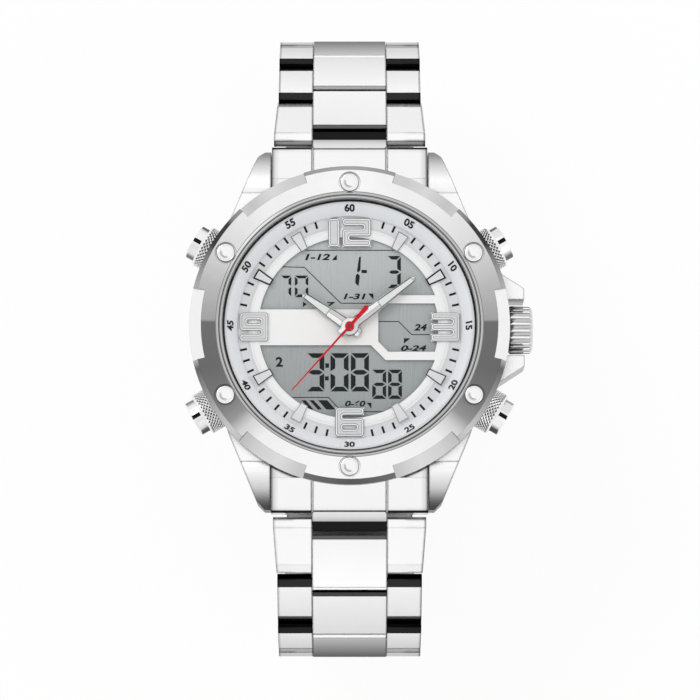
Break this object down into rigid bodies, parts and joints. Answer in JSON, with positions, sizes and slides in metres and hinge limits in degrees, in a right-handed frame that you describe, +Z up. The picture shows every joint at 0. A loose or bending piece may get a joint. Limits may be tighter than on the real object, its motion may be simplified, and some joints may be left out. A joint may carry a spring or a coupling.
{
  "type": "wristwatch",
  "caption": "Round steel wristwatch with hands over a liquid crystal display, knurled pushers, a guarded crown and a link bracelet on a folding clasp.",
  "frame": {"origin": "on the flat outer face of the closed clasp, under the axis of the hands", "axes": "+Z up through the dial, +Y towards 12 o'clock, +X towards 3 o'clock and the crown"},
  "size_m": [0.0528, 0.0984, 0.0621],
  "materials": {
    "satin_steel": "satin",
    "polished_steel": "polished",
    "hand_steel": "polished",
    "marker_steel": "satin",
    "spring_steel": "satin",
    "cell_steel": "satin",
    "crystal_glass": "polished",
    "lcd_glass": "gloss",
    "black_rubber": "matte",
    "connector_rubber": "matte",
    "white_ring": "satin",
    "white_dial": "satin",
    "black_plastic": "matte",
    "board_green": "gloss",
    "train_brass": "satin",
    "motor_copper": "satin",
    "red_paint": "gloss"
  },
  "bodies": {
    "case": {"case_body": "satin_steel", "bezel": "satin_steel", "bezel_screws": "polished_steel", "crystal": "crystal_glass", "gaskets": "black_rubber", "chapter_ring": "white_ring", "dial": "white_dial", "dial_markers": "marker_steel", "case_back": "satin_steel", "case_back_screws": "satin_steel", "pusher_tubes": "satin_steel", "pusher_springs": "spring_steel", "spring_bars": "satin_steel", "end_links": "satin_steel", "module_frame": "black_plastic", "lcd_panel": "lcd_glass", "circuit_board": "board_green", "lcd_connectors": "connector_rubber", "button_cells": "cell_steel", "battery_strap": "spring_steel", "movement_plates": "train_brass", "stepper_motor": "motor_copper"},
    "stem": {"crown_stem": "satin_steel"},
    "crown": {"crown": "polished_steel"},
    "pusher_1": {"pusher_1": "polished_steel"},
    "pusher_2": {"pusher_2": "polished_steel"},
    "pusher_3": {"pusher_3": "polished_steel"},
    "pusher_4": {"pusher_4": "polished_steel"},
    "second": {"second_hand": "red_paint", "second_wheel": "train_brass"},
    "step_wheel": {"step_wheel": "train_brass"},
    "rotor": {"rotor": "train_brass"},
    "third_wheel": {"third_wheel": "train_brass"},
    "centre_wheel": {"centre_wheel": "train_brass"},
    "minute": {"minute_hand": "hand_steel", "cannon_pinion": "train_brass"},
    "minute_wheel": {"minute_wheel": "train_brass"},
    "hour": {"hour_hand": "hand_steel", "hour_wheel": "train_brass"},
    "link_12_1": {"link_12_1": "satin_steel"},
    "link_12_2": {"link_12_2": "satin_steel"},
    "link_12_3": {"link_12_3": "satin_steel"},
    "link_12_4": {"link_12_4": "satin_steel"},
    "link_12_5": {"link_12_5": "satin_steel"},
    "link_12_6": {"link_12_6": "satin_steel"},
    "link_12_7": {"link_12_7": "satin_steel"},
    "link_12_8": {"link_12_8": "satin_steel"},
    "link_6_1": {"link_6_1": "satin_steel"},
    "link_6_2": {"link_6_2": "satin_steel"},
    "link_6_3": {"link_6_3": "satin_steel"},
    "link_6_4": {"link_6_4": "satin_steel"},
    "link_6_5": {"link_6_5": "satin_steel"},
    "link_6_6": {"link_6_6": "satin_steel"},
    "link_6_7": {"link_6_7": "satin_steel"},
    "link_6_8": {"link_6_8": "satin_steel"},
    "inner_blade": {"inner_blade": "satin_steel"},
    "middle_blade": {"middle_blade": "satin_steel"},
    "clasp_cover": {"clasp_cover": "satin_steel"},
    "clasp_button_left": {"clasp_button_left": "satin_steel"},
    "clasp_button_right": {"clasp_button_right": "satin_steel"}
  },
  "joints": [
    {"name": "crown_pull", "type": "slide", "parent": "case", "child": "stem", "axis": [1, 0, 0], "range_m": [0, 0.001]},
    {"name": "crown_turn", "type": "hinge", "parent": "stem", "child": "crown", "pos_m": [0.025, 0, 0.05438], "axis": [1, 0, 0], "continuous": true},
    {"name": "pusher_1_press", "type": "slide", "parent": "case", "child": "pusher_1", "axis": [-0.866, -0.5, 0], "range_m": [0, 0.0009], "stiffness_N_per_m": 900, "springref_m": -0.0015},
    {"name": "pusher_2_press", "type": "slide", "parent": "case", "child": "pusher_2", "axis": [0.866, -0.5, 0], "range_m": [0, 0.0009], "stiffness_N_per_m": 900, "springref_m": -0.0015},
    {"name": "pusher_3_press", "type": "slide", "parent": "case", "child": "pusher_3", "axis": [0.866, 0.5, 0], "range_m": [0, 0.0009], "stiffness_N_per_m": 900, "springref_m": -0.0015},
    {"name": "pusher_4_press", "type": "slide", "parent": "case", "child": "pusher_4", "axis": [-0.866, 0.5, 0], "range_m": [0, 0.0009], "stiffness_N_per_m": 900, "springref_m": -0.0015},
    {"name": "second_turn", "type": "hinge", "parent": "case", "child": "second", "pos_m": [0, 0, 0.05818], "axis": [0, 0, -1], "continuous": true},
    {"name": "step_wheel_turn", "type": "hinge", "parent": "case", "child": "step_wheel", "pos_m": [0.00144, 0.00249, 0.05368], "axis": [0, 0, -1], "continuous": true},
    {"name": "rotor_turn", "type": "hinge", "parent": "case", "child": "rotor", "pos_m": [0.00284, 0.00492, 0.05368], "axis": [0, 0, -1], "continuous": true},
    {"name": "third_wheel_turn", "type": "hinge", "parent": "case", "child": "third_wheel", "pos_m": [-0.00256, -0.00093, 0.05368], "axis": [0, 0, -1], "continuous": true},
    {"name": "centre_wheel_turn", "type": "hinge", "parent": "case", "child": "centre_wheel", "pos_m": [0, 0, 0.05418], "axis": [0, 0, -1], "continuous": true},
    {"name": "minute_turn", "type": "hinge", "parent": "case", "child": "minute", "pos_m": [0, 0, 0.05818], "axis": [0, 0, -1], "continuous": true},
    {"name": "minute_wheel_turn", "type": "hinge", "parent": "case", "child": "minute_wheel", "pos_m": [0.00103, -0.00282, 0.05478], "axis": [0, 0, -1], "continuous": true},
    {"name": "hour_turn", "type": "hinge", "parent": "case", "child": "hour", "pos_m": [0, 0, 0.05718], "axis": [0, 0, -1], "continuous": true},
    {"name": "link_12_1_hinge", "type": "hinge", "parent": "case", "child": "link_12_1", "pos_m": [0, 0.0296, 0.05388], "axis": [1, 0, 0], "range_deg": [0, 42]},
    {"name": "link_12_2_hinge", "type": "hinge", "parent": "link_12_1", "child": "link_12_2", "pos_m": [0, 0.03687, 0.0484], "axis": [1, 0, 0], "range_deg": [0, 12]},
    {"name": "link_12_3_hinge", "type": "hinge", "parent": "link_12_2", "child": "link_12_3", "pos_m": [0, 0.04341, 0.04208], "axis": [1, 0, 0], "range_deg": [0, 23]},
    {"name": "link_12_4_hinge", "type": "hinge", "parent": "link_12_3", "child": "link_12_4", "pos_m": [0, 0.04769, 0.03404], "axis": [1, 0, 0], "range_deg": [0, 29]},
    {"name": "link_12_5_hinge", "type": "hinge", "parent": "link_12_4", "child": "link_12_5", "pos_m": [0, 0.04832, 0.02497], "axis": [1, 0, 0], "range_deg": [0, 29]},
    {"name": "link_12_6_hinge", "type": "hinge", "parent": "link_12_5", "child": "link_12_6", "pos_m": [0, 0.04521, 0.01641], "axis": [1, 0, 0], "range_deg": [0, 27]},
    {"name": "link_12_7_hinge", "type": "hinge", "parent": "link_12_6", "child": "link_12_7", "pos_m": [0, 0.03912, 0.00965], "axis": [1, 0, 0], "range_deg": [0, 23]},
    {"name": "link_12_8_hinge", "type": "hinge", "parent": "link_12_7", "child": "link_12_8", "pos_m": [0, 0.03124, 0.0051], "axis": [1, 0, 0], "range_deg": [0, 21]},
    {"name": "link_6_1_hinge", "type": "hinge", "parent": "case", "child": "link_6_1", "pos_m": [0, -0.0296, 0.05388], "axis": [-1, 0, 0], "range_deg": [0, 29]},
    {"name": "link_6_2_hinge", "type": "hinge", "parent": "link_6_1", "child": "link_6_2", "pos_m": [0, -0.03791, 0.05017], "axis": [-1, 0, 0], "range_deg": [0, 27]},
    {"name": "link_6_3_hinge", "type": "hinge", "parent": "link_6_2", "child": "link_6_3", "pos_m": [0, -0.04423, 0.04363], "axis": [-1, 0, 0], "range_deg": [0, 30]},
    {"name": "link_6_4_hinge", "type": "hinge", "parent": "link_6_3", "child": "link_6_4", "pos_m": [0, -0.0472, 0.03502], "axis": [-1, 0, 0], "range_deg": [0, 26]},
    {"name": "link_6_5_hinge", "type": "hinge", "parent": "link_6_4", "child": "link_6_5", "pos_m": [0, -0.04688, 0.02593], "axis": [-1, 0, 0], "range_deg": [0, 25]},
    {"name": "link_6_6_hinge", "type": "hinge", "parent": "link_6_5", "child": "link_6_6", "pos_m": [0, -0.04347, 0.01749], "axis": [-1, 0, 0], "range_deg": [0, 23]},
    {"name": "link_6_7_hinge", "type": "hinge", "parent": "link_6_6", "child": "link_6_7", "pos_m": [0, -0.03762, 0.01052], "axis": [-1, 0, 0], "range_deg": [0, 22]},
    {"name": "link_6_8_hinge", "type": "hinge", "parent": "link_6_7", "child": "link_6_8", "pos_m": [0, -0.02999, 0.00556], "axis": [-1, 0, 0], "range_deg": [0, 21]},
    {"name": "inner_blade_hinge", "type": "hinge", "parent": "link_12_8", "child": "inner_blade", "pos_m": [0, 0.02241, 0.0029], "axis": [1, 0, 0], "range_deg": [0, 60]},
    {"name": "fold_hinge", "type": "hinge", "parent": "inner_blade", "child": "middle_blade", "pos_m": [0, -0.015, 0.00225], "axis": [-1, 0, 0], "range_deg": [0, 140]},
    {"name": "cover_hinge", "type": "hinge", "parent": "middle_blade", "child": "clasp_cover", "pos_m": [0, 0.02001, 0.00225], "axis": [1, 0, 0], "range_deg": [0, 120]},
    {"name": "clasp_button_left_press", "type": "slide", "parent": "clasp_cover", "child": "clasp_button_left", "axis": [1, 0, 0], "range_m": [0, 0.0008], "stiffness_N_per_m": 800, "springref_m": -0.0015},
    {"name": "clasp_button_right_press", "type": "slide", "parent": "clasp_cover", "child": "clasp_button_right", "axis": [-1, 0, 0], "range_m": [0, 0.0008], "stiffness_N_per_m": 800, "springref_m": -0.0015}
  ],
  "couplings": [
    {"joint": "step_wheel_turn", "follows": "second_turn", "ratio": -5},
    {"joint": "rotor_turn", "follows": "second_turn", "ratio": 30},
    {"joint": "third_wheel_turn", "follows": "second_turn", "ratio": -0.13333},
    {"joint": "centre_wheel_turn", "follows": "second_turn", "ratio": 0.016667},
    {"joint": "minute_wheel_turn", "follows": "minute_turn", "ratio": -0.33333},
    {"joint": "hour_turn", "follows": "minute_turn", "ratio": 0.083333}
  ]
}
